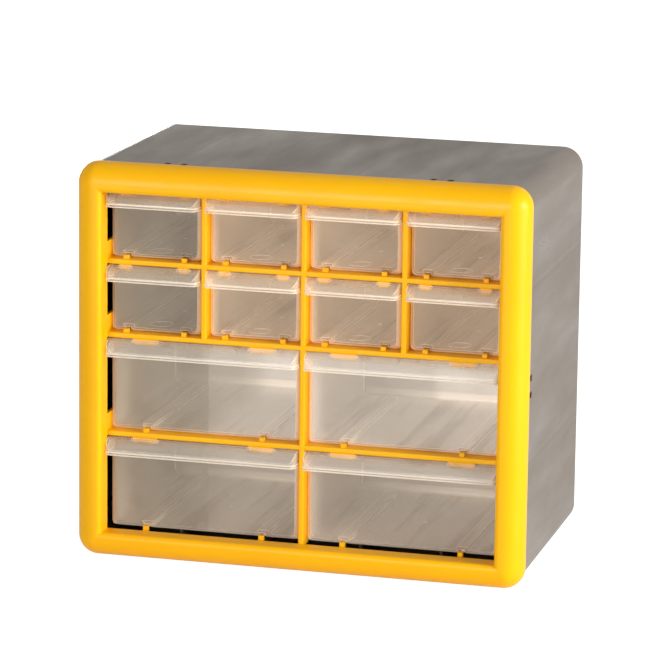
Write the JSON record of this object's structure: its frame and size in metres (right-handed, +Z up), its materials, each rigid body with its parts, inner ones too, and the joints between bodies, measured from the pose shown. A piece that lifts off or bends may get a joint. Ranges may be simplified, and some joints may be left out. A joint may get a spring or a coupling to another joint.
{
  "type": "parts bin cabinet",
  "caption": "Small-parts cabinet with two rows of small and two rows of wide clear hood-pull drawers behind a rounded one-piece front frame.",
  "frame": {"origin": "middle of the cabinet's footprint, on the surface it stands on", "axes": "+X to the viewer's right when facing the drawers, +Y from front to back, +Z up; the drawers open towards -Y"},
  "size_m": [0.265, 0.155, 0.2315],
  "materials": {
    "grey_plastic": "satin",
    "rack_plastic": "satin",
    "yellow_plastic": "semi-gloss",
    "clear_plastic": "milky, see-through"
  },
  "bodies": {
    "cabinet": {"case": "grey_plastic", "drawer_rack": "rack_plastic", "front_frame": "yellow_plastic"},
    "small_drawer_1_1": {"small_drawer_1_1": "clear_plastic"},
    "small_drawer_1_2": {"small_drawer_1_2": "clear_plastic"},
    "small_drawer_1_3": {"small_drawer_1_3": "clear_plastic"},
    "small_drawer_1_4": {"small_drawer_1_4": "clear_plastic"},
    "small_drawer_2_1": {"small_drawer_2_1": "clear_plastic"},
    "small_drawer_2_2": {"small_drawer_2_2": "clear_plastic"},
    "small_drawer_2_3": {"small_drawer_2_3": "clear_plastic"},
    "small_drawer_2_4": {"small_drawer_2_4": "clear_plastic"},
    "large_drawer_3_1": {"large_drawer_3_1": "clear_plastic"},
    "large_drawer_3_2": {"large_drawer_3_2": "clear_plastic"},
    "large_drawer_4_1": {"large_drawer_4_1": "clear_plastic"},
    "large_drawer_4_2": {"large_drawer_4_2": "clear_plastic"}
  },
  "joints": [
    {"name": "small_drawer_1_1_slide", "type": "slide", "parent": "cabinet", "child": "small_drawer_1_1", "axis": [0, -1, 0], "range_m": [0, 0.11]},
    {"name": "small_drawer_1_2_slide", "type": "slide", "parent": "cabinet", "child": "small_drawer_1_2", "axis": [0, -1, 0], "range_m": [0, 0.11]},
    {"name": "small_drawer_1_3_slide", "type": "slide", "parent": "cabinet", "child": "small_drawer_1_3", "axis": [0, -1, 0], "range_m": [0, 0.11]},
    {"name": "small_drawer_1_4_slide", "type": "slide", "parent": "cabinet", "child": "small_drawer_1_4", "axis": [0, -1, 0], "range_m": [0, 0.11]},
    {"name": "small_drawer_2_1_slide", "type": "slide", "parent": "cabinet", "child": "small_drawer_2_1", "axis": [0, -1, 0], "range_m": [0, 0.11]},
    {"name": "small_drawer_2_2_slide", "type": "slide", "parent": "cabinet", "child": "small_drawer_2_2", "axis": [0, -1, 0], "range_m": [0, 0.11]},
    {"name": "small_drawer_2_3_slide", "type": "slide", "parent": "cabinet", "child": "small_drawer_2_3", "axis": [0, -1, 0], "range_m": [0, 0.11]},
    {"name": "small_drawer_2_4_slide", "type": "slide", "parent": "cabinet", "child": "small_drawer_2_4", "axis": [0, -1, 0], "range_m": [0, 0.11]},
    {"name": "large_drawer_3_1_slide", "type": "slide", "parent": "cabinet", "child": "large_drawer_3_1", "axis": [0, -1, 0], "range_m": [0, 0.11]},
    {"name": "large_drawer_3_2_slide", "type": "slide", "parent": "cabinet", "child": "large_drawer_3_2", "axis": [0, -1, 0], "range_m": [0, 0.11]},
    {"name": "large_drawer_4_1_slide", "type": "slide", "parent": "cabinet", "child": "large_drawer_4_1", "axis": [0, -1, 0], "range_m": [0, 0.11]},
    {"name": "large_drawer_4_2_slide", "type": "slide", "parent": "cabinet", "child": "large_drawer_4_2", "axis": [0, -1, 0], "range_m": [0, 0.11]}
  ]
}
